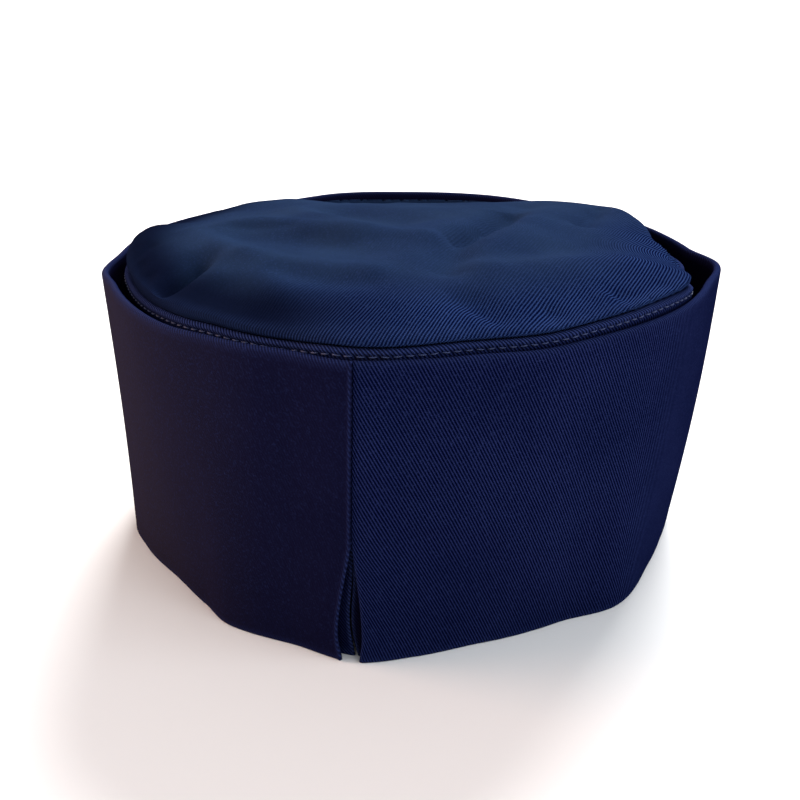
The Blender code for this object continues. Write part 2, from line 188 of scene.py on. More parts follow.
# Folds of the crown: a soft ridge or valley along the line between two points, as they lie
# in the photograph, with more of them than in the CAD. Places and widths are shares of
# CROWN_RADIUS, rise is a share of FOLD_DEPTH.
Fold = namedtuple("Fold", "from_x from_y to_x to_y rise width")
FOLDS = (
    Fold(-0.78, -0.64, -0.66, -0.41, -1.00, 0.045),
    Fold(-0.91, -0.20, -0.61, -0.37, 0.45, 0.100),
    Fold(-0.61, -0.37, -0.40, -0.66, 0.35, 0.100),
    Fold(-0.73, -0.68, -0.59, -0.57, 0.35, 0.050),
    Fold(0.46, 0.40, 0.41, 0.24, -0.45, 0.055),
    Fold(0.41, 0.24, 0.30, -0.06, -1.20, 0.042),
    Fold(0.30, -0.06, 0.18, -0.24, -1.20, 0.042),
    Fold(0.18, -0.24, 0.13, -0.57, -0.80, 0.045),
    Fold(0.50, 0.16, 0.32, -0.29, 0.45, 0.060),
    Fold(0.32, -0.29, 0.22, -0.52, 0.45, 0.060),
    Fold(-0.63, -0.05, -0.51, -0.03, 0.55, 0.050),
    Fold(-0.51, -0.03, -0.39, -0.08, 0.55, 0.050),
    Fold(-0.39, -0.08, -0.17, -0.24, 0.55, 0.050),
    Fold(-0.17, -0.24, 0.08, -0.27, 0.55, 0.050),
    Fold(-0.52, -0.21, -0.35, -0.27, -0.45, 0.060),
    Fold(-0.35, -0.27, -0.13, -0.43, -0.45, 0.060),
    Fold(-0.22, 0.18, -0.02, 0.04, -0.80, 0.090),
    Fold(-0.42, 0.28, -0.31, 0.09, 0.40, 0.050),
    Fold(-0.31, 0.09, -0.15, -0.18, 0.40, 0.050),
    Fold(-0.74, -0.07, -0.56, -0.38, 0.45, 0.045),
    Fold(-0.56, -0.38, -0.41, -0.51, 0.45, 0.045),
    Fold(-0.41, -0.51, -0.12, -0.61, 0.45, 0.045),
    Fold(-0.52, -0.51, -0.32, -0.62, -0.35, 0.050),
    Fold(-0.32, -0.62, -0.12, -0.69, -0.35, 0.050),
    Fold(-0.52, -0.45, -0.44, -0.62, 0.35, 0.045),
    Fold(-0.44, -0.62, -0.38, -0.74, 0.35, 0.045),
    Fold(0.64, 0.10, 0.75, 0.38, -0.50, 0.032),
    Fold(0.25, -0.48, 0.45, -0.36, -0.35, 0.055),
    Fold(0.45, -0.36, 0.65, -0.26, -0.35, 0.055),
    Fold(0.29, -0.58, 0.48, -0.48, 0.30, 0.055),
    Fold(0.48, -0.48, 0.68, -0.42, 0.30, 0.055),
    Fold(0.19, -0.79, 0.26, -0.86, -0.55, 0.045),
    Fold(0.46, -0.80, 0.68, -0.62, -0.50, 0.100),
    Fold(0.60, -0.68, 0.64, -0.77, 0.35, 0.028),
    Fold(0.65, -0.66, 0.69, -0.73, -0.50, 0.028),
    Fold(0.38, -0.92, 0.42, -0.81, -0.35, 0.028),
    Fold(-0.62, -0.68, -0.45, -0.83, -0.40, 0.090),
    Fold(0.50, 0.66, 0.60, 0.60, 0.20, 0.090),
    Fold(0.72, 0.48, 0.76, 0.42, 0.45, 0.090),
    Fold(0.88, 0.38, 0.90, 0.28, 0.85, 0.100),
    Fold(-0.94, 0.06, -0.94, -0.10, 0.70, 0.070),
    Fold(-0.58, 0.64, -0.50, 0.66, 0.80, 0.110),
)

# Sharper and shallower creases between them.
CREASES = (
    Fold(-0.79, -0.65, -0.66, -0.43, -1.20, 0.020),
    Fold(-0.86, -0.50, -0.87, -0.33, -0.40, 0.016),
    Fold(-0.83, -0.57, -0.82, -0.44, -0.40, 0.014),
    Fold(-0.92, -0.30, -0.86, -0.20, -0.30, 0.018),
    Fold(0.38, 0.18, 0.29, -0.07, -0.30, 0.028),
    Fold(0.29, -0.07, 0.18, -0.23, -0.30, 0.028),
    Fold(0.63, 0.09, 0.74, 0.38, -0.20, 0.016),
    Fold(0.21, -0.84, 0.27, -0.89, -0.15, 0.018),
    Fold(0.63, -0.72, 0.62, -0.79, -0.25, 0.015),
    Fold(0.70, -0.64, 0.80, -0.55, -0.20, 0.020),
    Fold(-0.60, -0.08, -0.40, -0.12, -0.16, 0.020),
    Fold(-0.02, 0.46, 0.10, 0.40, 0.16, 0.030),
)

# Where sewing by hand and pressing by eye leave the crown seam and the cuff's top fold a
# little higher or lower, how far the crown's roll stands back from the ledge, and how far
# the crown's edge sinks.
Nudge = namedtuple("Nudge", "angle seam rim inset sink")
NUDGES = (
    Nudge(-168, 0.0000, 0.0000, 0.0008, 0.0000),
    Nudge(-150, 0.0000, 0.0000, 0.0014, 0.0000),
    Nudge(-135, 0.0000, -0.0008, 0.0012, 0.0000),
    Nudge(-120, -0.0003, -0.0005, 0.0006, 0.0000),
    Nudge(-104, -0.0002, -0.0002, 0.0003, 0.0000),
    Nudge(-91, -0.0012, -0.0002, 0.0002, 0.0000),
    Nudge(-80, -0.0007, 0.0000, 0.0002, 0.0000),
    Nudge(-68, -0.0009, -0.0009, 0.0002, 0.0000),
    Nudge(-56, 0.0001, -0.0002, 0.0002, 0.0000),
    Nudge(-45, 0.0007, 0.0000, 0.0002, 0.0000),
    Nudge(-34, 0.0010, -0.0002, 0.0003, 0.0000),
    Nudge(-22, 0.0008, 0.0000, 0.0016, 0.0000),
    Nudge(-8, 0.0004, 0.0000, 0.0054, 0.0000),
    Nudge(6, 0.0000, 0.0000, 0.0048, 0.0000),
    Nudge(17, 0.0000, 0.0000, 0.0018, 0.0000),
    Nudge(30, 0.0000, 0.0000, 0.0000, 0.0000),
    Nudge(55, 0.0000, 0.0000, 0.0004, 0.0004),
    Nudge(75, 0.0000, 0.0000, 0.0014, 0.0015),
    Nudge(120, 0.0000, 0.0000, 0.0014, 0.0015),
    Nudge(140, 0.0000, 0.0000, 0.0008, 0.0002),
)

# The vent's edges: how far from the seam's line each end of the cuff and of the side band
# stands at each height.
VentEnd = namedtuple("VentEnd", "height cuff_left cuff_right side_left side_right")
VENT_ENDS = (
    VentEnd(0.000, 0.0018, 0.0027, -0.0014, 0.0022),
    VentEnd(0.006, 0.0037, 0.0036, 0.0001, 0.0005),
    VentEnd(0.014, 0.0034, 0.0032, 0.0008, -0.0003),
    VentEnd(0.022, 0.0024, 0.0025, 0.0002, 0.0002),
    VentEnd(0.030, 0.0012, 0.0014, -0.0002, 0.0003),
    VentEnd(0.036, 0.0002, 0.0005, 0.0000, 0.0001),
    VentEnd(0.039, 0.0000, 0.0000, 0.0000, 0.0000),
)


# ---- The cap's form ----
def outline(name, angle, table=SECTIONS):
    """A table's column at any angle: the smooth closed curve through its rows, made of
    cubic pieces whose slopes are the harmonic means of their neighbours'."""
    knots = np.array([row.angle for row in table], dtype=float)
    values = np.array([getattr(row, name) for row in table])
    knots = np.concatenate([knots[-2:] - 360, knots, knots[:2] + 360])
    values = np.concatenate([values[-2:], values, values[:2]])
    rise = np.diff(values) / np.diff(knots)
    before, after = rise[:-1], rise[1:]
    same_way = before * after > 0
    total = np.where(same_way, before + after, 1.0)
    slopes = np.where(same_way, 2 * before * after / total, 0.0)
    slopes = np.concatenate([[0.0], slopes, [0.0]])
    first = knots[2]
    angle = (np.asarray(angle) - first) % 360 + first
    i = np.clip(np.searchsorted(knots, angle, side="right") - 1, 0, len(knots) - 2)
    span = knots[i + 1] - knots[i]
    t = (angle - knots[i]) / span
    start = values[i] * (1 + 2 * t) * (1 - t) ** 2 + slopes[i] * span * t * (1 - t) ** 2
    end = values[i + 1] * t**2 * (3 - 2 * t) + slopes[i + 1] * span * t**2 * (t - 1)
    return start + end


def at(angle, radius, height):
    """Points at these angles in degrees, radii and heights."""
    angle = np.radians(angle)
    points = np.broadcast_arrays(radius * np.cos(angle), radius * np.sin(angle), height)
    return np.stack(points, axis=-1)


def bell(distance, width):
    """1 at a distance of nought, falling smoothly to nothing over a few widths."""
    return np.exp(-((distance / width) ** 2))


def step(low, high, value):
    """0 below low, 1 above high, and smooth between."""
    t = np.clip((value - low) / (high - low), 0, 1)
    return t * t * (3 - 2 * t)


def waves(table, angle, share=0.0):
    """A sum of sine waves round the cap, moved on by their lean at this share of the height."""
    a = np.radians(angle)
    return sum(
        wave.share * np.sin(wave.count * a + wave.start + wave.lean * share) for wave in table
    )


def seam_angle(height):
    """The cuff seam's direction: a straight run from its angle at the hem to that at the top."""
    share = height / CUFF_HEIGHT
    return SEAM_ANGLE_HEM + (SEAM_ANGLE_TOP - SEAM_ANGLE_HEM) * share


def drape(angle, height):
    """The cuff's soft waviness: slow waves round it that lean with height and are highest
    half way up."""
    share = height / CUFF_HEIGHT
    swell = 0.35 + np.sin(np.pi * np.clip(share, 0, 1))
    return DRAPE_DEPTH * waves(DRAPE_WAVES, angle, share) * swell


def cuff_outside(angle, height):
    """Radius of the cuff's outer face: a straight run from hem to rim, bowed by its belly."""
    share = height / CUFF_HEIGHT
    hem = HEM_RADIUS * outline("hem", angle)
    rim = RIM_RADIUS * outline("rim", angle)
    bow = np.sin(np.pi * np.clip(share, 0, 1))
    belly = CUFF_BELLY * outline("belly", angle) * bow
    return hem + (rim - hem) * share + belly


def side_outside(angle, height):
    """Radius of the side band's outer face: the cuff's, less its cloth and a gap between them
    that widens with the height to the power 1.5."""
    share = np.maximum(height, 0) / CUFF_HEIGHT
    stand = CUFF_STANDOFF * outline("stand", angle) * share**1.5
    drawn_in = 0.4 * outline("inset", angle, NUDGES) * step(0.050, 0.090, height)
    return cuff_outside(angle, height) - CUFF_CLOTH - CLEARANCE - stand - drawn_in


def seam_height(angle):
    """Height of the crown seam, with its nudges and a slight waver."""
    seam = SEAM_RISE * outline("seam", angle) + outline("seam", angle, NUDGES)
    return CUFF_HEIGHT + seam + waves(SEAM_WAVES, angle)


def rim_height(angle):
    """Height of the cuff's top, with the slight unevenness of a pressed fold."""
    return CUFF_HEIGHT + outline("rim", angle, NUDGES) + waves(RIM_WAVES, angle)


def vent_end(name, height):
    """A column of VENT_ENDS: straight lines between its rows, averaged over 4 mm."""
    heights = [row.height for row in VENT_ENDS]
    values = [getattr(row, name) for row in VENT_ENDS]
    spread = np.array([-0.75, -0.25, 0.25, 0.75]) * 0.004
    return sum(np.interp(height + shift, heights, values) for shift in spread) / len(spread)


def vent_turn(share, height, ends):
    """How far the vent's ends, drawn back as their table says, move cloth at this share of
    the way round to the right, and how far they spring it outward: both fall off
    exponentially with the distance from the ends."""
    near_left, near_right = (np.exp(-far * ROUND / VENT_EASE) for far in (1 - share, share))
    depth = np.clip(1 - height / VENT_HEIGHT, 0, 1) ** 0.6
    right = vent_end(ends + "_right", height) * near_right
    left = vent_end(ends + "_left", height) * near_left
    return right - left, depth * (near_left + near_right)


# ---- Walls ----
def shares_round(finest=0.00011, growth=0.055, coarsest=0.00105):
    """Shares of the way round at which a wall has columns: their spacing grows from finest
    at the seam by growth for each length away, until it is coarsest."""
    reach = (coarsest - finest) / growth
    count = int(math.log(1 + growth * reach / finest) / math.log(1 + growth))
    near = finest / growth * ((1 + growth) ** np.arange(count) - 1)
    far = np.linspace(near[-1], ROUND / 2, int((ROUND / 2 - near[-1]) / coarsest) + 1)[1:]
    half = np.concatenate([near, far]) / ROUND
    return np.concatenate([half, 1 - half[-2::-1]])


def wall_rows(turn, half, along_vent, above_vent):
    """A wall's rows from its hem up: level is 0 at the hem, 1 at the vent's apex and 2 where
    the top starts to round, lift is a height added to that, and across is the share of the
    half thickness. The hem is most of a quarter circle of radius turn."""
    bend = np.radians(np.linspace(80, 0, 6))
    low = np.stack(
        [np.zeros(6), turn * (1 - np.sin(bend)), 1 - turn / half * (1 - np.cos(bend))]
    )
    mid = np.linspace(0, 1, along_vent + 1)[1:]
    top = 1 + np.linspace(0, 1, above_vent + 1)[1:]
    face = np.concatenate([mid, top])
    lift = np.where(face <= 1, turn * (1 - face), 0)
    high = np.stack([face, lift, np.ones(len(face))])
    return np.concatenate([low, high], axis=1)


def wall(kind, rows, bends):
    """A wall as a closed grid of loops: up the outer face, over a half circle at the top,
    and down the inner face, each loop a function of the share round and the row.

    kind says how the wall differs: its thickness, top and radius, which of the vent's ends
    are its own and how far they spring out, its relief, and its share of the drape."""
    level, lift, across = rows
    apex = int(np.argmax(level >= 1))
    share = shares_round()[None, :]
    middle = seam_angle(CUFF_HEIGHT) + 360 * share
    half = kind["cloth"] / 2
    top = kind["top"](middle) - half
    level, lift, across = level[:, None], lift[:, None], across[:, None]
    height = np.where(
        level <= 1, level * VENT_HEIGHT, VENT_HEIGHT + (level - 1) * (top - VENT_HEIGHT)
    )
    height = height + lift
    drawn, sprung = vent_turn(share, height, kind["ends"])
    angle = seam_angle(height) + 360 * share + np.degrees(drawn / HEM_RADIUS)
    face = kind["radius"](angle, height) + kind["spring"] * sprung
    face = face + drape(angle, height) * kind["drape"]
    to_left, to_right = (1 - share) * ROUND, share * ROUND
    nearest = np.minimum(to_left, to_right)
    open_ = step(0, VENT_FADE, VENT_HEIGHT - height)
    rounded = np.sqrt(np.clip(1 - (1 - np.clip(nearest / END_TURN, 0, 1)) ** 2, 0, 1))
    thick = 1 - open_ * (1 - np.maximum(rounded, END_THIN))
    outer_relief, inner_relief = kind["relief"](angle, height, to_left, to_right, open_)
    outer = at(angle, face - half * (1 - across * thick) + outer_relief, height)
    inner = at(angle, face - half * (1 + across * thick) + inner_relief, height)
    bend = np.linspace(0, np.pi, bends + 2)[1:-1, None]
    start, end = outer_relief[-1:], inner_relief[-1:]
    swell = start + (end - start) * bend / np.pi
    crest = at(
        angle[-1:],
        face[-1:] - half + half * np.cos(bend) + swell,
        height[-1:] + half * np.sin(bend),
    )
    return np.concatenate([outer, crest, inner[::-1]]), apex


def wall_mesh(name, grid, apex, marks, material):
    """The wall's faces. Its first and last columns are one above the vent's apex, and below
    it each end is closed by a strip between its outer and inner edges."""
    loop, columns = grid.shape[:2]
    index = np.arange(loop * columns).reshape(loop, columns)
    shared = index.copy()
    joined = np.arange(apex, loop - apex)
    shared[joined, -1] = shared[joined, 0]
    after = np.roll(np.arange(loop), -1)

    def squares(table):
        """Faces between a table's neighbours, whose last row joins its first."""
        return np.stack(
            [table[:, :-1], table[:, 1:], table[after, 1:], table[after, :-1]], axis=-1
        ).reshape(-1, 4)

    rows = np.arange(apex)
    ends = []
    for column, flip in ((0, False), (columns - 1, True)):
        strip = np.stack(
            [
                shared[rows, column],
                shared[rows + 1, column],
                shared[loop - 2 - rows, column],
                shared[loop - 1 - rows, column],
            ],
            axis=-1,
        )
        ends.append(strip[:, ::-1] if flip else strip)
    run = np.linalg.norm(np.diff(grid[:, columns // 3], axis=0), axis=1)
    v = np.concatenate([[0], np.cumsum(run)])
    u = shares_round() * ROUND
    uv = np.stack(np.broadcast_arrays(u[None, :], v[:, None]), axis=-1).reshape(-1, 2)
    wrap = squares(index)
    face_uv = uv[wrap]
    high = np.array([v[-1] + np.linalg.norm(grid[-1, 1] - grid[0, 1])])
    face_uv[-(columns - 1):, 2:, 1] = high
    corners = np.concatenate([squares(shared), *ends])
    face_uv = np.concatenate([face_uv] + [uv[np.minimum(end, len(uv) - 1)] for end in ends])
    marks = {
        mark: np.broadcast_to(value, grid.shape[:2]).reshape(-1) for mark, value in marks.items()
    }
    return cloth(name, grid.reshape(-1, 3), corners, face_uv, marks, material)


def cloth(name, points, corners, face_uv, marks, material):
    """A mesh of four-cornered faces, laid out flat in metres, with marks for its finish:
    where it is worn and painted with highlights, how crisp its ribs and their painted shade
    are, where it is painted with shade, and where painted warm light lies on it."""
    used, corners = np.unique(corners, return_inverse=True)
    corners = corners.reshape(-1, 4)
    mesh = bpy.data.meshes.new(name)
    mesh.from_pydata((points[used] + MOVED).tolist(), [], corners.tolist())
    layer = mesh.uv_layers.new(name="flat")
    layer.data.foreach_set("uv", face_uv.reshape(-1).astype(np.float32))
    for mark, value in marks.items():
        values = np.broadcast_to(value, len(points.reshape(-1, 3)))[used]
        layer = mesh.attributes.new(mark, "FLOAT", "POINT")
        layer.data.foreach_set("value", values.astype(np.float32))
    mesh.shade_smooth()
    mesh.materials.append(material)
    piece = bpy.data.objects.new(name, mesh)
    bpy.context.scene.collection.objects.link(piece)
    return piece


def cuff_relief(angle, height, to_left, to_right, open_):
    """The cuff's seam, made of bells of the distance from it: a lapped edge on its left, a
    thin groove, and the right panel sunk beside it. The groove fades where the vent opens."""
    ridge = SEAM_RIDGE * bell(to_left - SEAM_RIDGE_WIDTH, SEAM_RIDGE_WIDTH)
    groove = SEAM_GROOVE * bell(np.minimum(to_left, to_right), SEAM_GROOVE_WIDTH)
    dip = SEAM_DIP * bell(to_right, SEAM_DIP_WIDTH)
    return ridge - (groove + dip) * (1 - open_), 0 * height


def side_relief(angle, height, to_left, to_right, open_):
    """The side band's ledge: plumped by the seam allowance, pulled in along the stitches,
    and puckered between them."""
    below = seam_height(angle) - height
    plump = LEDGE_BULGE * (1 - step(0.0030, 0.0052, below))
    line = bell(below - STITCH_DROP, 0.00055)
    beat = np.cos(2 * np.pi * (angle - SEAM_ANGLE_TOP) / 360 * STITCHES)
    pucker = PUCKER_DEPTH * beat * bell(below - STITCH_DROP, 0.0016)
    groove = STITCH_SINK * line * (0.75 + 0.25 * beat)
    return plump - groove - pucker, -LEDGE_LEAN * (1 - step(0.0030, 0.0050, below))


def round_the_cap(rows):
    """A mark's value in each of a wall's columns: straight lines between the rows' values."""
    shares, values = zip(*rows)
    return np.interp(shares_round(), shares, values)


def make_cuff(material):
    """The cuff: a wall from the hem to its pressed fold, with a seam that opens in the vent."""
    kind = {
        "cloth": CUFF_CLOTH,
        "top": rim_height,
        "radius": cuff_outside,
        "ends": "cuff",
        "spring": VENT_SPRING,
        "relief": cuff_relief,
        "drape": 1.0,
    }
    rows = wall_rows(HEM_TURN, CUFF_CLOTH / 2, 20, 26)
    grid, apex = wall(kind, rows, 9)
    inside = inner_face(grid)
    marks = {
        "worn": edge_wear_and_highlight(grid),
        "crisp_and_lit": round_the_cap(CUFF_CRISP_AND_LIT),
        # Painted shade: on the left panel, and over all of the inner face.
        "dull": np.maximum(round_the_cap(CUFF_SHADE), inside),
        # Painted warm light, on the outer face only.
        "warm_lit": (1 - inside) * round_the_cap(CUFF_WARM_LIT),
    }
    return wall_mesh("cuff_cloth", grid, apex, marks, material)


def make_side_band(material):
    """The side band: a wall from the hem to the crown seam, with finer rows at its ledge."""
    kind = {
        "cloth": SIDE_CLOTH,
        "top": seam_height,
        "radius": side_outside,
        "ends": "side",
        "spring": VENT_SPRING * SIDE_SPRING_SHARE,
        "relief": side_relief,
        "drape": SIDE_DRAPE,
    }
    rows = wall_rows(HEM_TURN * SIDE_TURN_SHARE, SIDE_CLOTH / 2, 14, 22)
    fine = 2 - (LEDGE_HEIGHT * 1.2) / (CUFF_HEIGHT - VENT_HEIGHT)
    ledge = np.linspace(fine, 2, 20)
    keep = rows[0] < fine - 0.01
    rows = np.concatenate(
        [rows[:, keep], np.stack([ledge, 0 * ledge, 0 * ledge + 1])], axis=1
    )
    grid, apex = wall(kind, rows, 9)
    marks = {
        "worn": edge_wear_and_highlight(grid, 0.0022),
        "crisp_and_lit": round_the_cap(SIDE_CRISP_AND_LIT),
        "dull": round_the_cap(SIDE_SHADE),
    }
    return wall_mesh("side_band_cloth", grid, apex, marks, material)


def inner_face(grid):
    """1 on the cuff's inner face above the vent, 0 on its outer one. The cuff paints shade
    over all of it.
    """
    angle = np.degrees(np.arctan2(grid[..., 1], grid[..., 0]))
    outside = cuff_outside(angle, grid[..., 2]) + drape(angle, grid[..., 2])
    inward = outside - np.hypot(grid[..., 0], grid[..., 1])
    return step(0.0012, 0.0020, inward) * step(0.0, 0.003, VENT_HEIGHT * 1.2 < grid[..., 2])


def edge_wear_and_highlight(grid, reach=0.0011):
    """Highest along the folded edges of a wall, which are worn and painted with the highlight
    of light catching them: bells of the distance from its top, its hem, its ends and the lap of
    its seam, and of them the greatest."""
    height = grid[..., 2]
    top = height.max(axis=0, keepdims=True)
    share = shares_round()[None, :]
    to_left, to_right = (1 - share) * ROUND, share * ROUND
    crest = bell(top - height, reach)
    hem = 0.7 * bell(height, 0.0012)
    end = bell(np.minimum(to_left, to_right), 0.0008) * step(-0.004, 0.004, VENT_HEIGHT - height)
    # Painted highlight on the seam's lapped edge.
    lap = 0.6 * bell(to_left - SEAM_RIDGE_WIDTH, SEAM_RIDGE_WIDTH * 0.7)
    return np.maximum(np.maximum(crest, hem), np.maximum(end, lap))


# ---- Crown ----
def folds_at(x, y, folds):
    """Height of these folds at points in shares of CROWN_RADIUS: the sum of bells of the
    distance from each fold's line. A fold that goes on from the one before adds only what
    stands above it, so that a bent fold is no higher at its bends."""
    relief = np.zeros_like(x)
    line = end = None
    for fold in folds:
        along_x, along_y = fold.to_x - fold.from_x, fold.to_y - fold.from_y
        length = np.hypot(along_x, along_y)
        run = ((x - fold.from_x) * along_x + (y - fold.from_y) * along_y) / length
        past = run - np.clip(run, 0, length)
        aside = ((x - fold.from_x) * along_y - (y - fold.from_y) * along_x) / length
        here = bell(np.hypot(aside, past), fold.width * math.sqrt(2))
        line = line if end == (fold.from_x, fold.from_y) else np.zeros_like(x)
        relief += fold.rise * np.maximum(here - line, 0)
        line, end = np.maximum(here, line), (fold.to_x, fold.to_y)
    return FOLD_DEPTH * relief


def ripple(x, y):
    """Small unevenness of soft cloth: a sum of waves in fixed directions."""
    total = np.zeros_like(x)
    for row in RIPPLES:
        direction = np.radians(row.angle)
        run = x * np.cos(direction) + y * np.sin(direction)
        total += row.height * np.sin(2 * np.pi * run / row.length + row.start)
    return total


def gathers(angle, share):
    """Short puckers where the crown is eased into its seam: waves round the edge that fade
    inward and come and go round the cap."""
    a = np.radians(angle)
    strength = 0.55 + 0.45 * np.sin(3 * a + 0.8) * np.sin(5 * a + 2.3)
    pucker = np.sin(61 * a + 2.5 * np.sin(4 * a)) + 0.6 * np.sin(97 * a + 1.7 * np.sin(6 * a))
    return GATHER_DEPTH * strength * pucker * step(0.86, 1.0, share)


def crown_surface(shares, angle):
    """The crown's outer face: a puffed disc whose height falls as the root of 1 less a power
    of the share out, the roll round it, and its edge turned down inside the side band."""
    seam = seam_height(angle)
    wall_at_seam = side_outside(angle, seam)
    turn = wall_at_seam - SIDE_CLOTH - CLEARANCE * 2
    roll = wall_at_seam + CROWN_BULGE - outline("inset", angle, NUDGES)
    shoulder = seam + CROWN_ROLL * outline("roll", angle)
    share = shares[:, None]
    x = share * roll * np.cos(np.radians(angle))
    y = share * roll * np.sin(np.radians(angle))
    rise = CROWN_RISE * (1 + (outline("crown", angle) - 1) * share**2)
    lean = 1 - CROWN_LEAN * share * np.sin(np.radians(angle))
    level = CUFF_HEIGHT + rise + CROWN_DOME * lean * (1 - share**2)
    height = shoulder + (level - shoulder) * np.sqrt(1 - share**CROWN_FULLNESS)
    u, v = x / CROWN_RADIUS, y / CROWN_RADIUS
    fine = folds_at(u, v, CREASES) + ripple(u, v)
    stress = 1 + FOLD_STRESS * (1 - share**4)
    height = height + (folds_at(u, v, FOLDS) * stress + fine) * (1 - share**24)
    height = height - outline("sink", angle, NUDGES) * share**3
    height = height + gathers(angle, share)
    disc = np.stack([x, y, height], axis=-1)
    bend = np.linspace(0, 1, 8)[1:, None]
    under = wall_at_seam - ROLL_UNDER
    out = roll + (under - roll) * bend**3 + gathers(angle, 1 + 0 * bend) * 0.6
    down = shoulder + (seam + CLEARANCE * 1.2 - shoulder) * bend
    roll_under = at(angle, out, down)
    half = SIDE_CLOTH / 2 + CLEARANCE
    over = half + CLEARANCE
    tuck = np.radians(np.linspace(95, 180, 6))[:, None]
    tucked = at(
        angle,
        wall_at_seam - SIDE_CLOTH / 2 + over * np.cos(tuck),
        seam - half + over * np.sin(tuck),
    )
    turned = at(angle, turn, seam - CROWN_TURN)
    return np.concatenate([disc, roll_under, tucked, turned[None]])


def crown_marks(grid):
    """The crown's marks: smooth steps of the radius and of how much a point lies toward the
    ribbed and the shaded side, which is the cosine of its angle from them. The rim is worn and
    painted with a highlight all round, the ribs and their painted shade are crisp toward the
    ribbed side, and painted shade darkens the rim toward the shaded side."""
    radius = np.hypot(grid[..., 0], grid[..., 1]) / CROWN_RADIUS
    scale = CROWN_RADIUS * np.maximum(radius, 0.1)
    ribbed, dull = (
        (x * grid[..., 0] + y * grid[..., 1]) / scale for x, y in (RIBBED_SIDE, SHADED_SIDE)
    )
    ribs = 0.15 + 0.75 * step(0.60, 0.88, radius)
    marks = {
        "worn": 0.4 * step(0.93, 1.0, radius),
        "crisp_and_lit": 0.10 + step(0.15, 0.70, ribbed) * ribs,
        # Painted shade on the rim at the front left, where it rolls away from the light.
        "dull": step(0.72, 0.90, radius) * (1 - step(0.42, 0.86, ribbed)) * step(-0.3, 0.5, dull),
    }
    return {mark: value.reshape(-1) for mark, value in marks.items()}


def make_crown(material):
    """The crown as a closed skin: its outer face, and under it a coarser inner face moved
    in by the cloth's thickness, joined round the turned-down edge. At each pole the last
    ring's faces share one point, two columns to a face."""
    columns = CROWN_COLUMNS
    angle = SEAM_ANGLE_TOP + 360 * np.arange(columns) / columns
    disc = np.linspace(0, 1 - EDGE_SHARE, DISC_ROWS)
    edge = 1 - EDGE_SHARE * np.linspace(1, 0, EDGE_ROWS)[1:] ** 1.6
    outer = crown_surface(np.concatenate([disc, edge]), angle)
    last = len(outer) - 1
    kept = np.concatenate([np.arange(0, DISC_ROWS, 8), np.arange(DISC_ROWS, last, 2), [last]])
    down = np.gradient(outer, axis=0)
    round_ = np.roll(outer, -1, axis=1) - np.roll(outer, 1, axis=1)
    normal = np.cross(down, round_)
    normal[0] = (0, 0, 1)
    normal /= np.linalg.norm(normal, axis=-1, keepdims=True)
    normal[-1, :, 2] = 0
    inner = (outer - CROWN_CLOTH * normal)[kept]
    inner[-1, :, 2] = outer[-1, :, 2]
    grid = np.concatenate([outer, inner[::-1]])
    index = np.arange(len(grid) * columns).reshape(len(grid), columns)
    after = np.roll(np.arange(columns), -1)
    ring = index[1:-1]
    skin = np.stack([ring[:-1], ring[1:], ring[1:][:, after], ring[:-1][:, after]], axis=-1)
    even = np.arange(0, columns, 2)
    top = [index[0, even], index[1, even], index[1, even + 1], index[1, (even + 2) % columns]]
    foot = [index[-1, even], index[-2, (even + 2) % columns], index[-2, even + 1], index[-2, even]]
    wrap = np.concatenate([skin.reshape(-1, 4), np.stack(top, axis=-1), np.stack(foot, axis=-1)])
    corners = np.where(wrap < columns, 0, wrap)
    corners = np.where(wrap >= index[-1, 0], index[-1, 0], corners)
    run = np.linalg.norm(np.diff(outer, axis=0), axis=-1).mean(axis=1)
    out = np.concatenate([[0], np.cumsum(run)])
    out = np.concatenate([out, out[kept][::-1]])
    face_uv = at(angle, out[:, None], 0.0)[..., :2].reshape(-1, 2)[wrap]
    points = grid.reshape(-1, 3)
    return cloth("crown_cloth", points, corners, face_uv, crown_marks(grid), material)


# ---- Stitches ----
def make_stitches(material):
    """The row of stitches round the ledge: each is a tube whose axis is a shallow arc, as
    its ends dive into the cloth. Rings along it are circles that shrink at both ends."""
    along = np.linspace(-1, 1, 8)
    around = np.linspace(0, 2 * np.pi, 6, endpoint=False)
    place = SEAM_ANGLE_TOP + 360 * (np.arange(STITCHES) + 0.5) / STITCHES
    tilt = 0.00012 * np.sin(np.arange(STITCHES) * 2.399)
    reach = np.degrees(STITCH_LENGTH / 2 / RIM_RADIUS)
    angle = place[:, None] + reach * along
    seam = seam_height(angle)
    height = seam - STITCH_DROP + tilt[:, None] * along
    base = side_outside(angle, height) + drape(angle, height) * SIDE_DRAPE + LEDGE_BULGE
    arch = THREAD_RADIUS * 1.5 * (1 - np.abs(along) ** 2.6) - STITCH_SINK * 0.95
    radius = base + arch + THREAD_RADIUS * 0.35
    girth = THREAD_RADIUS * (1 - 0.55 * np.abs(along) ** 4)
    ring_out = radius[..., None] + (girth[:, None] * np.cos(around))[None]
    ring_up = height[..., None] + (girth[:, None] * np.sin(around))[None]
    grid = at(angle[..., None], ring_out, ring_up)
    many, rings, sides = grid.shape[:3]
    index = np.arange(many * rings * sides).reshape(many, rings, sides)
    after = np.roll(np.arange(sides), -1)
    tube = np.stack(
        [index[:, :-1], index[:, 1:], index[:, 1:][..., after], index[:, :-1][..., after]],
        axis=-1,
    ).reshape(-1, 4)
    halves = ((0, [0, 1, 2, 3]), (0, [0, 3, 4, 5]), (-1, [3, 2, 1, 0]), (-1, [5, 4, 3, 0]))
    caps = [index[:, end][:, order] for end, order in halves]
    corners = np.concatenate([tube, *caps])
    u = place[:, None, None] / 360 * ROUND + STITCH_LENGTH / 2 * along[:, None]
    uv = np.stack(np.broadcast_arrays(u, around * THREAD_RADIUS), -1)
    face_uv = uv.reshape(-1, 2)[corners]
    return cloth("ledge_stitches", grid.reshape(-1, 3), corners, face_uv, {}, material)


